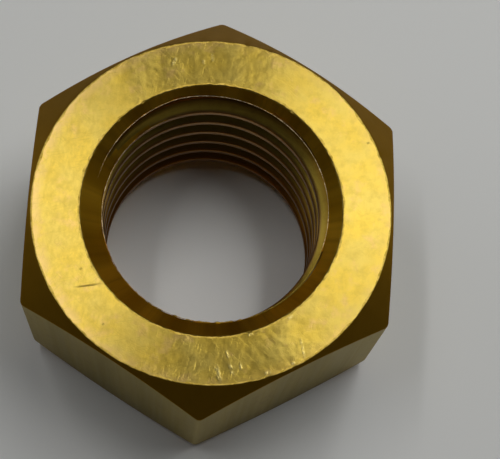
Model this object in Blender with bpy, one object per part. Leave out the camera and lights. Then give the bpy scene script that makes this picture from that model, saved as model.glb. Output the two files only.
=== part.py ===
"""Hexagon nut, M22 x 2.5, made in brass: one solid piece of machined hexagon bar.

It is modelled in the order in which it is made: hexagon bar, both ends turned to a chamfer, hole drilled,
both mouths countersunk, thread tapped. The origin is the centre of the bottom bearing face, +Z is the
thread's axis, and two of the six wrench flats face +X and -X. Lengths are in metres.
"""

from math import cos, pi, radians, sin, tan

import bmesh
import bpy

# Driving dimensions
MM = 0.001
ACROSS_FLATS = 32.0 * MM
HEIGHT = 18.0 * MM
BAR_EDGE_RADIUS = 0.6 * MM
FACE_DIAMETER = 31.45 * MM
CHAMFER_ANGLE = radians(38.0)
THREAD_DIAMETER = 22.0 * MM
THREAD_PITCH = 2.5 * MM
THREAD_START_Z = 1.25 * MM
COUNTERSINK_DIAMETER = 23.05 * MM
COUNTERSINK_ANGLE = radians(90.0)

# ISO metric thread form, from the pitch
FLANK_ANGLE = radians(30.0)
SHARP_V_HEIGHT = THREAD_PITCH / (2.0 * tan(FLANK_ANGLE))
MAJOR_RADIUS = THREAD_DIAMETER / 2.0
MINOR_RADIUS = MAJOR_RADIUS - 0.625 * SHARP_V_HEIGHT
ROOT_WIDTH = THREAD_PITCH / 8.0

# How finely round shapes are divided, and how far cutters run past what they cut
STEPS_PER_TURN = 72
EDGE_STEPS = 3
OVERCUT = 1.0 * MM
TAP_INSIDE = 0.3 * MM
SHARP_EDGE_ANGLE = radians(25.0)

BRASS_COLOUR = (0.78, 0.57, 0.20, 1.0)
BRASS_ROUGHNESS = 0.34
BRASS_METALLIC = 1.0


def clear_scene():
    for item in list(bpy.data.objects):
        bpy.data.objects.remove(item, do_unlink=True)


def brass():
    material = bpy.data.materials.new("brass")
    material.use_nodes = True
    shader = material.node_tree.nodes["Principled BSDF"]
    shader.inputs["Base Color"].default_value = BRASS_COLOUR
    shader.inputs["Roughness"].default_value = BRASS_ROUGHNESS
    shader.inputs["Metallic"].default_value = BRASS_METALLIC
    return material


def add_object(name, mesh_data):
    """Turns a bmesh into an object with its faces pointing outwards."""
    bmesh.ops.recalc_face_normals(mesh_data, faces=mesh_data.faces)
    mesh = bpy.data.meshes.new(name)
    mesh_data.to_mesh(mesh)
    mesh_data.free()
    item = bpy.data.objects.new(name, mesh)
    bpy.context.scene.collection.objects.link(item)
    return item


def prism(name, outline, low, high):
    """A straight bar with the given outline, from height low to height high."""
    mesh_data = bmesh.new()
    base = mesh_data.faces.new([mesh_data.verts.new((x, y, low)) for x, y in outline])
    grown = bmesh.ops.extrude_face_region(mesh_data, geom=[base])
    top = [item for item in grown["geom"] if isinstance(item, bmesh.types.BMVert)]
    bmesh.ops.translate(mesh_data, verts=top, vec=(0.0, 0.0, high - low))
    return add_object(name, mesh_data)


def turned(name, profile):
    """A solid of revolution about Z with flat ends, from a profile of (radius, z) points."""
    mesh_data = bmesh.new()
    turn = [2.0 * pi * step / STEPS_PER_TURN for step in range(STEPS_PER_TURN)]
    rings = []
    for radius, z in profile:
        rings.append([mesh_data.verts.new((radius * cos(a), radius * sin(a), z)) for a in turn])
    for lower, upper in zip(rings, rings[1:]):
        bmesh.ops.bridge_loops(mesh_data, edges=ring_edges(mesh_data, lower) + ring_edges(mesh_data, upper))
    mesh_data.faces.new(rings[0])
    mesh_data.faces.new(rings[-1])
    return add_object(name, mesh_data)


def ring_edges(mesh_data, ring):
    """The edges of a closed ring of points, made where they aren't there yet."""
    edges = []
    for start, end in zip(ring, ring[1:] + ring[:1]):
        edge = mesh_data.edges.get((start, end))
        edges.append(edge or mesh_data.edges.new((start, end)))
    return edges


def hexagon_bar():
    """Drawn hexagon bar, longer than the nut, with its long edges slightly rounded."""
    apothem = ACROSS_FLATS / 2.0
    centre_reach = (apothem - BAR_EDGE_RADIUS) / cos(pi / 6.0)
    outline = []
    for corner in range(6):
        corner_angle = pi / 6.0 + corner * pi / 3.0
        for step in range(EDGE_STEPS + 1):
            swing = corner_angle + pi / 3.0 * (step / EDGE_STEPS - 0.5)
            x = centre_reach * cos(corner_angle) + BAR_EDGE_RADIUS * cos(swing)
            y = centre_reach * sin(corner_angle) + BAR_EDGE_RADIUS * sin(swing)
            outline.append((x, y))
    return prism("hex_nut", outline, -OVERCUT, HEIGHT + OVERCUT)


def chamfer_blank():
    """What the lathe leaves of a bar: flat ends of the face diameter, and a cone from each towards the corners."""
    face = FACE_DIAMETER / 2.0
    reach = ACROSS_FLATS / 2.0 / cos(pi / 6.0) + OVERCUT
    drop = (reach - face) * tan(CHAMFER_ANGLE)
    profile = [(face, 0.0), (reach, drop), (reach, HEIGHT - drop), (face, HEIGHT)]
    return turned("chamfer_blank", profile)


def drill():
    """The tapping hole's drill, with a countersink cone at each mouth."""
    slope = tan(COUNTERSINK_ANGLE / 2.0)
    mouth = COUNTERSINK_DIAMETER / 2.0
    outside = mouth + OVERCUT * slope
    depth = (mouth - MINOR_RADIUS) / slope
    profile = [
        (outside, -OVERCUT),
        (MINOR_RADIUS, depth),
        (MINOR_RADIUS, HEIGHT - depth),
        (outside, HEIGHT + OVERCUT),
    ]
    return turned("drill", profile)


def tap():
    """The thread groove as one right-hand helical bar with a trapezoid section, running out of both faces."""
    inside = MINOR_RADIUS - TAP_INSIDE
    half_root = ROOT_WIDTH / 2.0
    half_mouth = half_root + (MAJOR_RADIUS - inside) * tan(FLANK_ANGLE)
    section = [(inside, -half_mouth), (MAJOR_RADIUS, -half_root), (MAJOR_RADIUS, half_root), (inside, half_mouth)]
    first_turn = -2
    last_turn = int(HEIGHT / THREAD_PITCH) + 2
    mesh_data = bmesh.new()
    sections = []
    for step in range(first_turn * STEPS_PER_TURN, last_turn * STEPS_PER_TURN + 1):
        turns = step / STEPS_PER_TURN
        angle = 2.0 * pi * turns
        rise = THREAD_START_Z + THREAD_PITCH * turns
        points = [(r * cos(angle), r * sin(angle), rise + z) for r, z in section]
        sections.append([mesh_data.verts.new(point) for point in points])
    for before, after in zip(sections, sections[1:]):
        for a, b in zip(range(4), (1, 2, 3, 0)):
            mesh_data.faces.new((before[a], before[b], after[b], after[a]))
    mesh_data.faces.new(sections[0])
    mesh_data.faces.new(sections[-1])
    return add_object("tap", mesh_data)


def cut(body, tool, operation):
    """Adds a Boolean with the tool, which stays in the scene as a wire guide."""
    tool.hide_render = True
    tool.display_type = "WIRE"
    boolean = body.modifiers.new(tool.name, "BOOLEAN")
    boolean.operation = operation
    boolean.solver = "EXACT"
    boolean.object = tool


def finish_surface(body):
    """Keeps the cut shape as the body's own mesh, smooth round the turned faces and sharp at their edges."""
    evaluated = body.evaluated_get(bpy.context.evaluated_depsgraph_get())
    cut_mesh = bpy.data.meshes.new_from_object(evaluated)
    body.modifiers.clear()
    body.data = cut_mesh
    cut_mesh.shade_smooth()
    cut_mesh.set_sharp_from_angle(angle=SHARP_EDGE_ANGLE)


def main():
    clear_scene()
    nut = hexagon_bar()
    nut.data.materials.append(brass())
    cut(nut, chamfer_blank(), "INTERSECT")
    cut(nut, drill(), "DIFFERENCE")
    cut(nut, tap(), "DIFFERENCE")
    finish_surface(nut)


main()
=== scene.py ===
"""Looks for the hexagon nut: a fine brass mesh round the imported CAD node, pale floor, soft studio light."""

import math

import bmesh
import bpy
from mathutils import Matrix, Vector, noise


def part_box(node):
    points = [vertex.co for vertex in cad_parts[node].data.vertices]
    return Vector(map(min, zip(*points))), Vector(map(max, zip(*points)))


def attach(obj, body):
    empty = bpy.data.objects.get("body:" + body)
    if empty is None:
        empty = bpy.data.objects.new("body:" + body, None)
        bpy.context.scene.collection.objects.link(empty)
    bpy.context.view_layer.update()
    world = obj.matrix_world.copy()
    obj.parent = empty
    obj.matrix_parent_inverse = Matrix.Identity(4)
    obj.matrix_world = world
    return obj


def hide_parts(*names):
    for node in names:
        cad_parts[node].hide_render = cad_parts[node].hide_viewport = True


MM = 0.001
TURN = 2.0 * math.pi
SIDE = TURN / 6.0

# The thread and the turned ends, as in the CAD
FACE_RADIUS = 31.45 / 2 * MM
CHAMFER_TILT = math.radians(38.0)
CHAMFER_SLOPE = math.tan(CHAMFER_TILT)
BAR_EDGE_RADIUS = 0.6 * MM
MOUTH_RADIUS = 23.05 / 2 * MM
COUNTERSINK_TILT = math.radians(45.0)
PITCH = 2.5 * MM
GROOVE_START_Z = 1.25 * MM
FLANK_SLOPE = math.tan(math.radians(30.0))
MAJOR_RADIUS = 11.0 * MM
MINOR_RADIUS = MAJOR_RADIUS - 0.625 * PITCH / (2.0 * FLANK_SLOPE)
ROOT_WIDTH = PITCH / 8.0

# How far the worn edges are rounded, how ragged they are, and how far a burr stands out
WORN_WIDTH = 0.16 * MM
RIM_ROUND = 0.14 * MM
MOUTH_ROUND = 0.09 * MM
BAR_ROUND = 0.08 * MM
RIM_RAGGED = 0.03 * MM
MOUTH_RAGGED = 0.06 * MM
BURR = 0.12 * MM

# How many bumps the ragged edges have in one turn
RIM_BUMPS = 90.0
MOUTH_BUMPS = 120.0
WEAR_BUMPS = 70.0
BURR_BUMPS = 110.0
BEAD_BUMPS = 130.0

# Knocks on the rims of the upper face: angle from +X in degrees, half width and depth in mm
MOUTH_KNOCKS = [
    (289.3, 0.34, 0.06),
    (307.7, 0.36, 0.06),
    (139.0, 0.30, 0.06),
    (125.4, 0.30, 0.06),
    (55.1, 0.30, 0.05),
]
RIM_KNOCKS = [
    (291.0, 0.42, 0.05),
    (299.7, 0.26, 0.05),
    (81.6, 0.24, 0.07),
    (74.0, 0.24, 0.06),
    (22.0, 0.40, 0.05),
]

# Near the upper face the groove gets shallower: from so many turns up the helix, and by so much a turn
RUN_OUT_START = 6.217
RUN_OUT_RISE = 2.27 * MM

# The torn bead where the groove breaks out: its start and length in turns up the helix, the scale of its
# half thickness and the least of it. It grows over the first sixth of its length and fades over the last
# sixteenth.
BEAD_START = 5.325
BEAD_TURNS = 1.14
BEAD = 0.05 * MM
BEAD_LEAST = 0.001 * MM
BEAD_GROWTH = 6.0
BEAD_FADING = 16.0

# The thread is sampled over more turns than the nut holds, from so many turns below the groove's start
SPARE_TURNS = 3
TURNS_BELOW = 2

# An edge outside the thread is drawn sharp from this angle between its faces
SHARP_FROM = math.radians(18.0)

# The camera, on a short tele lens close above the nut
LENS_MM = 103.6
SENSOR_MM = 36.0
CLIP_START = 0.005
CAMERA_AZIMUTH = math.radians(-8.86)
CAMERA_ELEVATION = math.radians(72.84)
CAMERA_ROLL = math.radians(12.2)
CAMERA_DISTANCE = 125.06 * MM
AIM_OFFSET = Vector((3.40 * MM, -1.80 * MM, 0.0))

# The studio's softboxes all hang level at one height above the floor: name, centre x and y, width and depth
# in metres, brightness. The tubes are narrow and bright, and the low ones are so far off that their light
# comes in low.
CEILING = 0.40
SOFTBOXES = [
    ("tube_right", 0.106, 0.190, 0.022, 0.420, 9.3),
    ("tube_left", -0.120, 0.090, 0.022, 0.240, 9.8),
    ("tube_end", 0.129, 0.020, 0.022, 0.090, 3.8),
    ("panel_right", 0.123, 0.160, 0.070, 0.320, 1.2),
    ("panel_middle", 0.053, 0.160, 0.140, 0.240, 1.0),
    ("panel_left", -0.140, 0.100, 0.100, 0.240, 0.72),
    ("broad_right", 0.190, 0.200, 0.300, 0.320, 0.90),
    ("far_right", 0.380, 0.220, 0.155, 0.155, 2.8),
    ("far_left", -0.432, 0.076, 0.200, 0.360, 0.48),
    ("low_right", 0.800, 0.240, 0.360, 0.260, 0.8),
    ("low_left", -0.720, 0.380, 0.400, 0.460, 0.8),
]
WORLD_COLOUR = (0.8, 0.8, 0.8, 1.0)
WORLD_STRENGTH = 0.02
FLOOR_HALF_SIZE = 0.45
FLOOR_COLOUR = (0.93, 0.935, 0.905, 1.0)

# Single marks on the upper face: angle from +X and distance from the axis, half length and half width,
# and how far the mark is turned from pointing away from the axis, in degrees and mm
DARK_MARKS = [
    (217.1, 12.8, 1.35, 0.09, -26.0),
    (210.0, 12.6, 0.18, 0.14, 20.0),
    (27.2, 15.2, 0.17, 0.13, 0.0),
    (231.9, 14.0, 0.14, 0.12, 0.0),
]
# Painted highlights: bright spots on the upper face, the last four on the knocks in its rims
PAINTED_GLINTS = [
    (107.2, 14.1, 0.50, 0.20, -36.0),
    (93.1, 14.2, 0.50, 0.17, 5.0),
    (96.5, 13.7, 0.25, 0.18, 0.0),
    (305.0, 14.6, 1.00, 0.14, -20.0),
    (275.2, 14.7, 0.85, 0.26, 12.0),
    (279.6, 14.4, 0.60, 0.20, 10.0),
    (283.0, 14.2, 0.40, 0.16, -8.0),
    (279.0, 13.1, 0.40, 0.16, 8.0),
    (289.3, 11.80, 0.28, 0.17, 90.0),
    (307.7, 11.85, 0.30, 0.15, 90.0),
    (291.0, 15.35, 0.36, 0.18, 90.0),
    (299.7, 15.40, 0.22, 0.14, 90.0),
]

# Colours of the faced ends
FACE_YELLOW = (0.88, 0.615, 0.090, 1.0)
FACE_PALE = (0.83, 0.61, 0.122, 1.0)
FACE_PINK = (0.86, 0.57, 0.175, 1.0)
FACE_GRIME = (0.58, 0.39, 0.06, 1.0)
FACE_SPECKLE = (0.60, 0.41, 0.06, 1.0)
FACE_RUBBED = (0.95, 0.64, 0.26, 1.0)
FACE_FOULED = (0.56, 0.40, 0.06, 1.0)
# A painted highlight, for the bright spots
FACE_GLINT = (0.97, 0.80, 0.30, 1.0)
FACE_PIT = (0.24, 0.16, 0.03, 1.0)

# Colours of the other surfaces
CHAMFER_DARK = (0.31, 0.160, 0.006, 1.0)
CHAMFER_LIGHT = (0.40, 0.207, 0.011, 1.0)
# The flats' two band colours are darkened all over as painted shade, for the dark room that they face
FLAT_SHADED_DARK = (0.240, 0.175, 0.022, 1.0)
FLAT_SHADED_LIGHT = (0.305, 0.220, 0.036, 1.0)
FLAT_TARNISH = (0.215, 0.138, 0.022, 1.0)
FLAT_TINT = (0.98, 0.95, 0.82, 1.0)
CONE_DARK = (0.52, 0.275, 0.010, 1.0)
CONE_LIGHT = (0.76, 0.43, 0.026, 1.0)
CONE_STREAK = (0.38, 0.20, 0.012, 1.0)
THREAD_ROOT = (0.31, 0.125, 0.010, 1.0)
THREAD_FLANK = (0.51, 0.35, 0.052, 1.0)
THREAD_CREST = (0.44, 0.25, 0.085, 1.0)
THREAD_STAIN = (0.32, 0.17, 0.03, 1.0)
# Painted shade for the bottom of the hole
THREAD_DEEP_SHADE = (0.22, 0.09, 0.01, 1.0)
EDGE_DARK = (0.46, 0.30, 0.04, 1.0)
EDGE_LIGHT = (0.74, 0.52, 0.11, 1.0)
BURR_DARK = (0.30, 0.21, 0.08, 1.0)
# A painted highlight: the burr's pale colour
BURR_HIGHLIGHT = (0.86, 0.72, 0.44, 1.0)

# The shader's anisotropic rotation for tool marks that run round the axis, and for lines along it
ROUND_AXIS = 0.25
ALONG_AXIS = 0.0


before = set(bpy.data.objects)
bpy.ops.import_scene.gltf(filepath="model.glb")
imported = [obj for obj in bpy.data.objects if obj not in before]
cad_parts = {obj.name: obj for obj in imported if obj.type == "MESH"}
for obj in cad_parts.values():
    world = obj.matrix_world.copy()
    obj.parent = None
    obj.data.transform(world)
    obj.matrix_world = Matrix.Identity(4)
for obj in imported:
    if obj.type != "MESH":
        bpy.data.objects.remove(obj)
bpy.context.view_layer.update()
low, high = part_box("hex_nut")
HEIGHT = high.z - low.z
APOTHEM = (high.x - low.x) / 2.0
CORNER_RADIUS = (high.y - low.y) / 2.0


# ---------------------------------------------------------------- the nut's surface, as sizes by angle


def column_angles(even_columns=510, corner_extras=6, spread=1.1):
    """Angles of the mesh's columns: even steps, with more of them round the bar's six rounded edges."""
    angles = [TURN * i / even_columns for i in range(even_columns)]
    half_edge = BAR_EDGE_RADIUS * 0.5 / (APOTHEM / math.cos(SIDE / 2.0))
    for corner in range(6):
        middle = SIDE / 2.0 + corner * SIDE
        for i in range(corner_extras):
            angles.append(middle + half_edge * (2.0 * (i + 0.5) / corner_extras - 1.0) * spread)
    return sorted(a % TURN for a in angles)


def bar_radius(angle):
    """Distance from the axis to the side of the hexagon bar, whose long edges are rounded."""
    from_flat = (angle + SIDE / 2.0) % SIDE - SIDE / 2.0
    arc_centre = (APOTHEM - BAR_EDGE_RADIUS) / math.cos(SIDE / 2.0)
    to_corner = SIDE / 2.0 - abs(from_flat)
    flat_end = (APOTHEM - BAR_EDGE_RADIUS) * math.tan(SIDE / 2.0)
    if APOTHEM * math.tan(abs(from_flat)) <= flat_end:
        return APOTHEM / math.cos(from_flat)
    along = arc_centre * math.cos(to_corner)
    across = arc_centre * math.sin(to_corner)
    return min(along + math.sqrt(max(BAR_EDGE_RADIUS**2 - across**2, 0.0)), CORNER_RADIUS)


def root_radius(turns):
    """Radius of the groove's root so many turns up the helix: shallower near the upper face."""
    return MAJOR_RADIUS - RUN_OUT_RISE * max(turns - RUN_OUT_START, 0.0)


def groove_radius(z, angle):
    """Radius of the thread at height z: its crests at the minor radius, its roots at the major radius."""
    turns = (z - GROOVE_START_Z) / PITCH - angle / TURN
    off_root = abs(turns - round(turns)) * PITCH
    flank = MAJOR_RADIUS - (off_root - ROOT_WIDTH / 2.0) / FLANK_SLOPE
    return min(max(flank, MINOR_RADIUS), root_radius(round(turns) + angle / TURN))


def break_out(turns):
    """Radius at which the groove's upper flank comes out through the upper countersink."""
    rise = GROOVE_START_Z + PITCH * turns + ROOT_WIDTH / 2.0 + MOUTH_RADIUS - HEIGHT
    flank = (MAJOR_RADIUS * FLANK_SLOPE + rise) / (1.0 + FLANK_SLOPE)
    return max(min(flank, root_radius(turns)), MINOR_RADIUS)


def ragged(angle, seed, bumps_per_turn):
    """Noise between about -1 and 1 that runs on without a seam round the axis; seeds keep noises apart."""
    reach = bumps_per_turn / TURN
    spot = Vector((reach * math.cos(angle), reach * math.sin(angle), seed))
    return noise.noise(spot) + 0.5 * noise.noise(spot * 2.7)


def burr(z, angle):
    """How far torn metal stands out where the countersink ran into the first crest of the thread."""
    depth = min(z, HEIGHT - z)
    crest_depth = MOUTH_RADIUS - MINOR_RADIUS
    near_edge = max(0.0, 1.0 - abs(depth - crest_depth) / (0.5 * MM))
    torn = 0.3 + 0.7 * max(0.0, -math.sin(angle))
    return BURR * torn * near_edge * max(0.0, ragged(angle, 11.0 + round(z / HEIGHT), BURR_BUMPS))


def bore_radius(z, angle):
    """The hole: thread, cut away by the 90 degree countersink at each mouth."""
    from_face = min(z, HEIGHT - z)
    return max(groove_radius(z, angle), MOUTH_RADIUS - from_face) - burr(z, angle)


def knocked(angle, knocks, radius):
    """How deep knocks have gone into a rim at this angle."""
    depth = 0.0
    for degrees, half_width, deepest in knocks:
        away = math.remainder(angle - math.radians(degrees), TURN) * radius / MM
        depth += deepest * MM * max(0.0, 1.0 - (away / half_width) ** 2)
    return depth


def wear(angle, seed):
    """How much wider a rim's worn band is here, or narrower where it's below 0, as a share of its width."""
    return max(0.9 * ragged(angle, seed + 7.0, WEAR_BUMPS) - 0.25, -0.85)


def chamfer_drop(angle):
    """How far below the face the chamfer meets the side of the bar."""
    return (bar_radius(angle) - FACE_RADIUS) * CHAMFER_SLOPE


def chamfer_foot(angle):
    """How far outside the rim the chamfer's first ring lies: always inside the ring that comes after it."""
    return min(2.0 * RIM_ROUND, bar_radius(angle) - 2.1 * BAR_ROUND - FACE_RADIUS)


# ---------------------------------------------------------------- the nut's ends, ring by ring


def rounding(tilt, radius, steps=3):
    """Points of an arc from level to the given tilt, as (along, down) from where the two planes meet."""
    tangent = radius * math.tan(tilt / 2.0)
    turns = [tilt * step / steps for step in range(steps + 1)]
    return [(radius * math.sin(t) - tangent, radius * (1.0 - math.cos(t))) for t in turns]


def mouth_ring(kind, offset, depth, seed, knocks, give=0.5):
    """A ring so far outside the countersink's mouth: ragged, knocked outwards, and down by a share, give."""

    def radius(a):
        uneven = MOUTH_RAGGED * ragged(a, seed, MOUTH_BUMPS) + max(offset, 0.0) * wear(a, seed)
        return MOUTH_RADIUS + offset + uneven + knocked(a, knocks, MOUTH_RADIUS)

    return kind, radius, lambda a: depth + give * knocked(a, knocks, MOUTH_RADIUS)


def rim_ring(kind, offset, depth, seed, knocks, give=0.5):
    """A ring so far outside the face's rim: ragged, knocked inwards, and down by a share, give."""

    def radius(a):
        uneven = RIM_RAGGED * ragged(a, seed + 3.0, RIM_BUMPS) + min(offset, 0.0) * wear(a, seed)
        return FACE_RADIUS + offset + uneven - knocked(a, knocks, FACE_RADIUS)

    return kind, radius, lambda a: depth + give * knocked(a, knocks, FACE_RADIUS)


def corner_ring(kind, inward, down):
    """A ring so far inside the bar's outline and so far below the chamfer's lower edge."""
    return kind, lambda a: bar_radius(a) - inward, lambda a: chamfer_drop(a) + down


def mouth_rings(seed, knocks):
    """The rounded and worn mouth of the countersink, and the start of the face."""
    rings = [("worn_edge", lambda a: MOUTH_RADIUS - MOUTH_ROUND, lambda a: MOUTH_ROUND)]
    for along, down in rounding(COUNTERSINK_TILT, MOUTH_ROUND)[::-1]:
        rings.append(mouth_ring("worn_edge", -along, down, seed, knocks))
    rings.append(mouth_ring("worn_edge", WORN_WIDTH, 0.0, seed, knocks, give=0.0))
    rings.append(mouth_ring("face", 2.0 * WORN_WIDTH, 0.0, seed, knocks, give=0.0))
    return rings


def rim_rings(seed, knocks):
    """The end of the face, and its rounded and worn outer rim."""
    rings = [
        rim_ring("face", -2.0 * WORN_WIDTH, 0.0, seed, knocks, give=0.0),
        rim_ring("face", -WORN_WIDTH, 0.0, seed, knocks, give=0.0),
    ]
    for along, down in rounding(CHAMFER_TILT, RIM_ROUND):
        rings.append(rim_ring("worn_edge", along, down, seed, knocks))
    return rings


def chamfer_rings():
    """The chamfer, its slightly rounded lower edge and the start of the flats."""
    rings = [
        ("chamfer", lambda a: FACE_RADIUS + chamfer_foot(a), lambda a: chamfer_foot(a) * CHAMFER_SLOPE),
        corner_ring("chamfer", 2.0 * BAR_ROUND, -2.0 * BAR_ROUND * CHAMFER_SLOPE),
    ]
    for along, down in rounding(math.pi / 2.0 - CHAMFER_TILT, BAR_ROUND):
        across = along * math.cos(CHAMFER_TILT) - down * math.sin(CHAMFER_TILT)
        below = along * math.sin(CHAMFER_TILT) + down * math.cos(CHAMFER_TILT)
        rings.append(corner_ring("chamfer", -across, below))
    rings.append(corner_ring("flat", 0.0, 4.0 * BAR_ROUND))
    return rings


def end_rings(seed, mouth_knocks=(), rim_knocks=()):
    """One end of the nut, from its mouth out to its side: (kind, radius by angle, depth by angle)."""
    return mouth_rings(seed, mouth_knocks) + rim_rings(seed, rim_knocks) + chamfer_rings()


# ---------------------------------------------------------------- the nut's mesh


def nut_mesh():
    """The nut as one closed mesh, with the bead laid on it, and its faces by kind of surface."""
    angles = column_angles()
    mesh_data = bmesh.new()
    faces = {kind: [] for kind in MATERIALS}

    def ring(radius_of, z_of):
        points = []
        for a in angles:
            r = radius_of(a)
            points.append(mesh_data.verts.new((r * math.cos(a), r * math.sin(a), z_of(a))))
        return points

    lower_end = end_rings(1.0)
    upper_end = end_rings(2.0, MOUTH_KNOCKS, RIM_KNOCKS)
    bottom = [(kind, ring(radius, depth)) for kind, radius, depth in lower_end]
    top = [(kind, ring(radius, lambda a: HEIGHT - depth(a))) for kind, radius, depth in upper_end]
    outline = bottom + top[::-1]
    for step in range(len(outline) - 1):
        kind = outline[step + 1][0] if step < len(bottom) else outline[step][0]
        band(mesh_data, outline[step][1], outline[step + 1][1], faces[kind])
    bore(mesh_data, angles, bottom[0][1], top[0][1], faces)
    burr_bead(mesh_data, faces)
    bmesh.ops.recalc_face_normals(mesh_data, faces=mesh_data.faces)
    return mesh_data, faces


def band(mesh_data, lower, upper, faces):
    """The faces between two closed rings of points, added to the list of faces."""
    for i in range(len(lower)):
        j = (i + 1) % len(lower)
        faces.append(mesh_data.faces.new((lower[i], lower[j], upper[j], upper[i])))


def thread_rows():
    """Heights, in pitches from a root, at which the thread is sampled: closest at its corners."""
    half = [0.0, 0.045, 0.08, 0.15, 0.23, 0.31, 0.36, 0.39, 0.45, 0.5]
    return half + [1.0 - h for h in half[-2:0:-1]]


def bore_column(mesh_data, rows, turns, angle, low_point, high_point):
    """The hole's points at one angle, at heights that climb with the helix, held at the two mouths."""
    per_turn = len(rows)
    column = []
    for k in range(turns * per_turn + 1):
        whole = k // per_turn - TURNS_BELOW
        z = GROOVE_START_Z + PITCH * (whole + rows[k % per_turn] + angle / TURN)
        if z <= MOUTH_ROUND:
            column.append(low_point)
        elif z >= HEIGHT - MOUTH_ROUND:
            column.append(high_point)
        else:
            r = bore_radius(z, angle)
            column.append(mesh_data.verts.new((r * math.cos(angle), r * math.sin(angle), z)))
    return column


def bore_kind(loop):
    """Whether a face of the hole belongs to a countersink's cone or to the thread."""
    middle = sum(v.co.z for v in loop) / len(loop)
    reach = sum(v.co.xy.length for v in loop) / len(loop)
    on_cone = reach < MOUTH_RADIUS - min(middle, HEIGHT - middle) + 0.02 * MM
    return "countersink" if on_cone else "thread"


def bore(mesh_data, angles, mouth_low, mouth_high, faces):
    """The hole's surface: columns side by side, the last of which meets the first a turn further up."""
    rows = thread_rows()
    turns = int(HEIGHT / PITCH) + SPARE_TURNS
    grid = []
    for angle, low_point, high_point in zip(angles, mouth_low, mouth_high):
        grid.append(bore_column(mesh_data, rows, turns, angle, low_point, high_point))
    for i in range(len(grid)):
        j = (i + 1) % len(grid)
        climb = len(rows) if j == 0 else 0
        for k in range(turns * len(rows) - climb):
            corners = [grid[i][k], grid[i][k + 1], grid[j][k + 1 + climb], grid[j][k + climb]]
            loop = [v for n, v in enumerate(corners) if v is not corners[n - 1]]
            if len(loop) > 2:
                faces[bore_kind(loop)].append(mesh_data.faces.new(loop))


def bead_size(angle, step, steps):
    """The bead's half thickness: uneven, larger on the near side of the hole, and fading at both ends."""
    torn = max(0.0, 0.3 + ragged(angle, 23.0, BEAD_BUMPS))
    fade = min(1.0, BEAD_GROWTH * step / steps, BEAD_FADING * (steps - step) / steps)
    return BEAD * fade * (0.3 + 0.9 * torn + 0.9 * torn * max(0.0, -math.sin(angle))) + BEAD_LEAST


def burr_bead(mesh_data, faces, steps=620, around=5):
    """The thin torn bead along the edge where the groove breaks out through the upper countersink."""
    rings = []
    for step in range(steps + 1):
        turns = BEAD_START + BEAD_TURNS * step / steps
        angle = TURN * turns
        r = break_out(turns)
        size = bead_size(angle, step, steps)
        ring = []
        for i in range(around):
            swing = TURN * i / around
            across = r + size * math.cos(swing)
            z = HEIGHT - MOUTH_RADIUS + r + size * math.sin(swing)
            ring.append(mesh_data.verts.new((across * math.cos(angle), across * math.sin(angle), z)))
        rings.append(ring)
    for before, after in zip(rings, rings[1:]):
        far_side = before[0].co.y > -0.3 * MINOR_RADIUS
        band(mesh_data, before, after, faces["burr" if far_side else "thread"])
    faces["burr"].append(mesh_data.faces.new(rings[0]))
    faces["burr"].append(mesh_data.faces.new(rings[-1][::-1]))


# ---------------------------------------------------------------- brass


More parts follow.
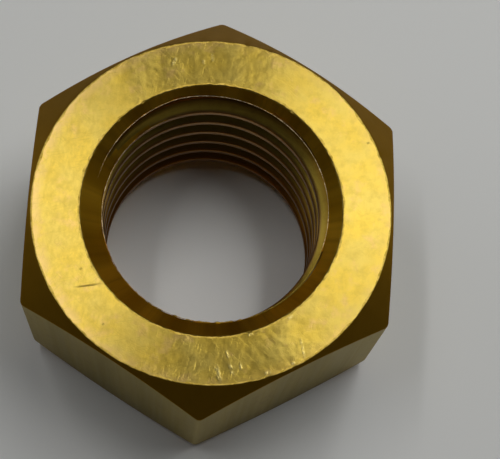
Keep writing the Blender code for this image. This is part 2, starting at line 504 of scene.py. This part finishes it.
class Recipe:
    """A material being put together: each short call adds a node and gives back its output."""

    def __init__(self, name, roughness, metallic=1.0):
        self.material = bpy.data.materials.new(name)
        self.material.use_nodes = True
        self.tree = self.material.node_tree
        self.shader = self.tree.nodes["Principled BSDF"]
        self.shader.inputs["Roughness"].default_value = roughness
        self.shader.inputs["Metallic"].default_value = metallic
        place = self.add("ShaderNodeTexCoord").outputs["Object"]
        self.place = self.scaled(place, (1.0 / MM, 1.0 / MM, 1.0 / MM))

    def add(self, kind, **settings):
        node = self.tree.nodes.new(kind)
        for name, value in settings.items():
            setattr(node, name, value)
        return node

    def feed(self, socket, value):
        """Links an output to a socket, or sets the socket to a plain value."""
        if isinstance(value, bpy.types.NodeSocket):
            self.tree.links.new(value, socket)
        else:
            socket.default_value = value

    def set(self, name, value):
        self.feed(self.shader.inputs[name], value)

    def scaled(self, vector, factors):
        node = self.add("ShaderNodeVectorMath", operation="MULTIPLY")
        self.feed(node.inputs[0], vector)
        self.feed(node.inputs[1], factors)
        return node.outputs[0]

    def moved(self, vector, offset):
        node = self.add("ShaderNodeVectorMath", operation="ADD")
        self.feed(node.inputs[0], vector)
        self.feed(node.inputs[1], offset)
        return node.outputs[0]

    def turned(self, vector, angle):
        node = self.add("ShaderNodeVectorRotate", rotation_type="Z_AXIS")
        self.feed(node.inputs["Vector"], vector)
        self.feed(node.inputs["Angle"], angle)
        return node.outputs[0]

    def math(self, operation, a, b=0.0):
        node = self.add("ShaderNodeMath", operation=operation)
        self.feed(node.inputs[0], a)
        self.feed(node.inputs[1], b)
        return node.outputs[0]

    def times(self, a, b):
        return self.math("MULTIPLY", a, b)

    def total(self, *shares):
        """The sum of values, each given with its weight."""
        weighted = [self.times(value, weight) for value, weight in shares]
        total = weighted[0]
        for share in weighted[1:]:
            total = self.math("ADD", total, share)
        return total

    def noise(self, vector, scale, detail=2.0, roughness=0.5):
        node = self.add("ShaderNodeTexNoise")
        self.feed(node.inputs["Vector"], vector)
        self.feed(node.inputs["Scale"], scale)
        self.feed(node.inputs["Detail"], detail)
        self.feed(node.inputs["Roughness"], roughness)
        return node.outputs["Fac"]

    def span(self, value, low, high, to_low=0.0, to_high=1.0):
        """The value's stretch from low to high, mapped to another stretch and held at its ends."""
        node = self.add("ShaderNodeMapRange")
        for socket, number in zip(node.inputs, (value, low, high, to_low, to_high)):
            self.feed(socket, number)
        return node.outputs[0]

    def mix(self, factor, a, b):
        """Blends two colours: a Mix node takes them at its inputs 6 and 7 and gives one at its output 2."""
        node = self.add("ShaderNodeMix", data_type="RGBA")
        self.feed(node.inputs[0], factor)
        self.feed(node.inputs[6], a)
        self.feed(node.inputs[7], b)
        return node.outputs[2]

    def vector(self, x, y, z):
        node = self.add("ShaderNodeCombineXYZ")
        for socket, value in zip(node.inputs, (x, y, z)):
            self.feed(socket, value)
        return node.outputs[0]

    def parts(self, vector):
        node = self.add("ShaderNodeSeparateXYZ")
        self.feed(node.inputs[0], vector)
        return node.outputs

    def around_axis(self):
        """The distance from the nut's axis in mm, and the direction away from it."""
        flat = self.scaled(self.place, (1.0, 1.0, 0.0))
        length = self.add("ShaderNodeVectorMath", operation="LENGTH")
        self.feed(length.inputs[0], flat)
        away = self.add("ShaderNodeVectorMath", operation="NORMALIZE")
        self.feed(away.inputs[0], flat)
        return length.outputs["Value"], away.outputs[0]

    def tool_marks(self, across, away, fineness):
        """Fine lines round the axis, from the measure in mm that changes across them."""
        x, y = self.parts(away)[:2]
        return self.noise(self.vector(self.times(across, fineness), x, y), 1.0, detail=3.0)

    def bump(self, height, distance, strength):
        node = self.add("ShaderNodeBump")
        self.feed(node.inputs["Height"], height)
        self.feed(node.inputs["Distance"], distance)
        self.feed(node.inputs["Strength"], strength)
        self.set("Normal", node.outputs[0])

    def cut_along(self, anisotropy, rotation):
        """Stretches the gloss across the tool marks, which run round the axis or along it."""
        tangent = self.add("ShaderNodeTangent", direction_type="RADIAL", axis="Z")
        self.set("Tangent", tangent.outputs[0])
        self.set("Anisotropic", anisotropy)
        self.set("Anisotropic Rotation", rotation)


def scratches(recipe, directions, across, along, threshold):
    """Sparse straight scratches in several directions, as a value from 0 to 1."""
    total = None
    for index, degrees in enumerate(directions):
        turned = recipe.turned(recipe.place, math.radians(degrees))
        x, y = recipe.parts(recipe.scaled(turned, (across, along, 1.0)))[:2]
        line = recipe.noise(recipe.vector(x, y, 5.3 * index), 1.0, detail=0.0)
        mark = recipe.span(line, threshold, threshold + 0.08)
        total = mark if total is None else recipe.math("MAXIMUM", total, mark)
    return total


def marks(recipe, places):
    """Single marks on the upper face, as a value from 0 to 1: scratches and pits, and spots of painted
    highlight.
    """
    total = 0.0
    for degrees, distance, half_length, half_width, heading in places:
        spot = recipe.turned(recipe.place, -math.radians(degrees))
        spot = recipe.moved(spot, (-distance, 0.0, 0.0))
        x, y = recipe.parts(recipe.turned(spot, -math.radians(heading)))[:2]
        along = recipe.span(recipe.math("ABSOLUTE", x), 0.5 * half_length, half_length, 1.0, 0.0)
        across = recipe.span(recipe.math("ABSOLUTE", y), 0.3 * half_width, half_width, 1.0, 0.0)
        total = recipe.math("MAXIMUM", total, recipe.times(along, across))
    upper = recipe.span(recipe.parts(recipe.place)[2], 8.0, 9.0)
    return recipe.times(total, upper)


def face_tone(recipe, radius, away, broad, lines):
    """The faced ends' colour: pink patches, grime, a rubbed rim, and most speckles and fouling near -X."""
    x = recipe.parts(away)[0]
    patches = recipe.noise(recipe.place, 0.7, detail=3.0, roughness=0.6)
    grime = recipe.noise(recipe.place, 1.1, detail=5.0, roughness=0.65)
    fine = recipe.noise(recipe.scaled(recipe.place, (1.0, 0.45, 1.0)), 3.4, detail=3.0, roughness=0.6)
    stained = recipe.span(x, -0.6, 0.5, 1.0, 0.3)
    speckle = recipe.times(recipe.span(fine, 0.42, 0.66, 0.0, 0.34), stained)
    rubbed = recipe.times(recipe.span(radius, 14.6, 15.5), recipe.span(x, -0.9, 0.1, 0.65, 0.15))
    fouled = recipe.times(lines, recipe.times(stained, 0.22))
    tone = recipe.mix(recipe.span(broad, 0.35, 0.65), FACE_YELLOW, FACE_PALE)
    tone = recipe.mix(recipe.span(patches, 0.56, 0.72, 0.0, 0.8), tone, FACE_PINK)
    tone = recipe.mix(recipe.span(grime, 0.45, 0.72, 0.0, 0.50), tone, FACE_GRIME)
    tone = recipe.mix(speckle, tone, FACE_SPECKLE)
    tone = recipe.mix(recipe.times(rubbed, recipe.span(grime, 0.35, 0.55)), tone, FACE_RUBBED)
    return recipe.mix(fouled, tone, FACE_FOULED)


def turned_face():
    """The faced ends: tool marks, dents that catch the light, stains, scratches, a few single marks, some of
    them painted highlights.
    """
    recipe = Recipe("turned_face", 0.34)
    radius, away = recipe.around_axis()
    rings = recipe.tool_marks(radius, away, 7.0)
    broad = recipe.noise(recipe.place, 0.40)
    dents = recipe.noise(recipe.place, 1.6, detail=3.0, roughness=0.6)
    grain = recipe.noise(recipe.place, 3.6, roughness=0.6)
    lines = scratches(recipe, (12, 44, 75, 131), across=11.0, along=0.7, threshold=0.70)
    dark = marks(recipe, DARK_MARKS)
    # Painted highlight: the bright spots' whiter colour is mixed into the face
    painted_glint = recipe.times(marks(recipe, PAINTED_GLINTS), recipe.span(grain, 0.40, 0.58, 0.2, 1.0))
    tone = face_tone(recipe, radius, away, broad, lines)
    tone = recipe.mix(recipe.times(painted_glint, 0.7), tone, FACE_GLINT)
    recipe.set("Base Color", recipe.mix(recipe.times(dark, 0.45), tone, FACE_PIT))
    recipe.set("Roughness", recipe.span(dents, 0.3, 0.7, 0.33, 0.37))
    relief = recipe.total((broad, 0.5), (dents, 0.11), (grain, 0.035), (rings, 0.05), (painted_glint, 0.085))
    cuts = recipe.total((lines, 0.022), (dark, 0.15))
    recipe.bump(recipe.math("SUBTRACT", relief, cuts), 0.1 * MM, 1.0)
    recipe.cut_along(0.97, ROUND_AXIS)
    return recipe.material


def turned_chamfer():
    """The turned corners: concentric marks, darker than the face."""
    recipe = Recipe("turned_chamfer", 0.36)
    radius, away = recipe.around_axis()
    rings = recipe.tool_marks(radius, away, 6.0)
    mottle = recipe.noise(recipe.place, 0.8, detail=4.0, roughness=0.6)
    recipe.set("Base Color", recipe.mix(mottle, CHAMFER_DARK, CHAMFER_LIGHT))
    recipe.bump(recipe.math("ADD", rings, mottle), 0.012 * MM, 0.5)
    recipe.cut_along(0.6, ROUND_AXIS)
    return recipe.material


def drawn_flat():
    """The wrench flats: die lines along the bar, dull, a little tarnished, and darkened all over as painted
    shade.
    """
    recipe = Recipe("drawn_flat", 0.45)
    streaks = recipe.noise(recipe.scaled(recipe.place, (1.0, 1.0, 0.02)), 2.2, detail=3.0, roughness=0.6)
    bands = recipe.noise(recipe.scaled(recipe.place, (1.0, 1.0, 0.05)), 0.35)
    mottle = recipe.noise(recipe.place, 1.3, detail=4.0, roughness=0.6)
    # Both band colours carry painted shade: the flats are darkened all over
    tone = recipe.mix(recipe.span(bands, 0.35, 0.65), FLAT_SHADED_DARK, FLAT_SHADED_LIGHT)
    recipe.set("Base Color", recipe.mix(recipe.span(mottle, 0.5, 0.8), tone, FLAT_TARNISH))
    recipe.set("Roughness", recipe.span(streaks, 0.3, 0.7, 0.42, 0.48))
    recipe.set("Specular Tint", FLAT_TINT)
    recipe.bump(recipe.math("ADD", streaks, mottle), 0.008 * MM, 0.5)
    recipe.cut_along(0.4, ALONG_AXIS)
    return recipe.material


def countersunk():
    """The countersinks: marks round the cone, with the broad stripes that a chattering tool leaves."""
    recipe = Recipe("countersunk", 0.33)
    radius, away = recipe.around_axis()
    rings = recipe.tool_marks(radius, away, 8.0)
    chatter = recipe.noise(recipe.scaled(away, (3.0, 3.0, 0.0)), 1.0, detail=1.0)
    streaks = recipe.noise(recipe.scaled(away, (22.0, 22.0, 0.0)), 1.0)
    tone = recipe.mix(recipe.span(chatter, 0.40, 0.60), CONE_DARK, CONE_LIGHT)
    recipe.set("Base Color", recipe.mix(recipe.span(streaks, 0.45, 0.8, 0.0, 0.5), tone, CONE_STREAK))
    recipe.bump(recipe.math("ADD", rings, streaks), 0.005 * MM, 0.5)
    recipe.cut_along(0.5, ROUND_AXIS)
    return recipe.material


def tapped_thread():
    """The thread: marks along the helix, red-brown roots, pinker crests, painted shade deep in the hole."""
    recipe = Recipe("tapped_thread", 0.30)
    radius, away = recipe.around_axis()
    climb = recipe.parts(recipe.place)[2]
    helix = recipe.tool_marks(climb, away, 7.0)
    stain = recipe.noise(recipe.place, 1.1, detail=4.0, roughness=0.6)
    tone = recipe.mix(recipe.span(radius, 10.9, 10.1), THREAD_ROOT, THREAD_FLANK)
    tone = recipe.mix(recipe.span(radius, 9.9, 9.7), tone, THREAD_CREST)
    tone = recipe.mix(recipe.span(stain, 0.5, 0.8, 0.0, 0.6), tone, THREAD_STAIN)
    # Painted shade: the thread gets darker towards the bottom of the hole, where little light reaches
    deep = recipe.span(climb, 4.0, 14.0, 0.9, 0.0)
    recipe.set("Base Color", recipe.mix(deep, tone, THREAD_DEEP_SHADE))
    recipe.bump(recipe.math("ADD", helix, stain), 0.02 * MM, 0.6)
    recipe.cut_along(0.4, ROUND_AXIS)
    return recipe.material


def worn_edge():
    """The rims of the faced ends: rubbed smooth, with no tool marks left."""
    recipe = Recipe("worn_edge", 0.45)
    grain = recipe.noise(recipe.place, 2.2, detail=3.0, roughness=0.6)
    recipe.set("Base Color", recipe.mix(recipe.span(grain, 0.35, 0.65), EDGE_DARK, EDGE_LIGHT))
    recipe.bump(grain, 0.03 * MM, 0.5)
    return recipe.material


def burr_with_highlight():
    """The burr that the tap left: rough torn metal, whose pale colour is partly a painted highlight."""
    recipe = Recipe("burr_with_highlight", 0.5)
    grain = recipe.noise(recipe.place, 5.0, roughness=0.6)
    # The pale colour is a painted highlight along the torn ridge
    recipe.set("Base Color", recipe.mix(recipe.span(grain, 0.35, 0.6), BURR_DARK, BURR_HIGHLIGHT))
    return recipe.material


MATERIALS = {
    "face": turned_face,
    "worn_edge": worn_edge,
    "chamfer": turned_chamfer,
    "flat": drawn_flat,
    "countersink": countersunk,
    "thread": tapped_thread,
    "burr": burr_with_highlight,
}


def shade(mesh_data, faces):
    """Gives each face its material, and draws every edge smooth but the sharp ones outside the thread."""
    kinds = list(MATERIALS)
    for index, kind in enumerate(kinds):
        for face in faces[kind]:
            face.material_index = index
            face.smooth = True
    thread = kinds.index("thread")
    for edge in mesh_data.edges:
        in_thread = all(face.material_index == thread for face in edge.link_faces)
        edge.smooth = in_thread or edge.calc_face_angle(0.0) < SHARP_FROM


def make_nut():
    mesh_data, faces = nut_mesh()
    shade(mesh_data, faces)
    mesh = bpy.data.meshes.new("brass_nut")
    mesh_data.to_mesh(mesh)
    mesh_data.free()
    for make_material in MATERIALS.values():
        mesh.materials.append(make_material())
    nut = bpy.data.objects.new("brass_nut", mesh)
    bpy.context.scene.collection.objects.link(nut)
    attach(nut, "root")
    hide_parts("hex_nut")


# ---------------------------------------------------------------- floor, light and camera


def make_floor():
    half = FLOOR_HALF_SIZE
    mesh = bpy.data.meshes.new("floor")
    corners = [(-half, -half, 0.0), (half, -half, 0.0), (half, half, 0.0), (-half, half, 0.0)]
    mesh.from_pydata(corners, [], [(0, 1, 2, 3)])
    recipe = Recipe("pale_floor", 0.55, metallic=0.0)
    recipe.set("Base Color", FLOOR_COLOUR)
    mesh.materials.append(recipe.material)
    floor = bpy.data.objects.new("floor", mesh)
    bpy.context.scene.collection.objects.link(floor)


def make_softbox(name, x, y, width, depth, brightness):
    """A rectangular soft light that looks straight down; brightness is its radiance, whatever its size."""
    data = bpy.data.lights.new(name, "AREA")
    data.shape = "RECTANGLE"
    data.size = width
    data.size_y = depth
    data.energy = math.pi * width * depth * brightness
    light = bpy.data.objects.new(name, data)
    bpy.context.scene.collection.objects.link(light)
    light.location = (x, y, CEILING)


def make_camera():
    e, a = CAMERA_ELEVATION, CAMERA_AZIMUTH
    back = Vector((math.sin(a) * math.cos(e), -math.cos(a) * math.cos(e), math.sin(e)))
    data = bpy.data.cameras.new("camera")
    data.lens = LENS_MM
    data.sensor_width = SENSOR_MM
    data.clip_start = CLIP_START
    camera = bpy.data.objects.new("camera", data)
    bpy.context.scene.collection.objects.link(camera)
    turn = back.to_track_quat("Z", "Y").to_matrix() @ Matrix.Rotation(CAMERA_ROLL, 3, "Z")
    aim = Vector((0.0, 0.0, HEIGHT)) + AIM_OFFSET
    camera.matrix_world = Matrix.Translation(aim + back * CAMERA_DISTANCE) @ turn.to_4x4()
    bpy.context.scene.camera = camera


def make_world():
    world = bpy.data.worlds.new("studio")
    world.use_nodes = True
    background = world.node_tree.nodes["Background"]
    background.inputs["Color"].default_value = WORLD_COLOUR
    background.inputs["Strength"].default_value = WORLD_STRENGTH
    bpy.context.scene.world = world


make_camera()
make_nut()
make_floor()
make_world()
for softbox in SOFTBOXES:
    make_softbox(*softbox)
bpy.context.scene.view_settings.view_transform = "Standard"
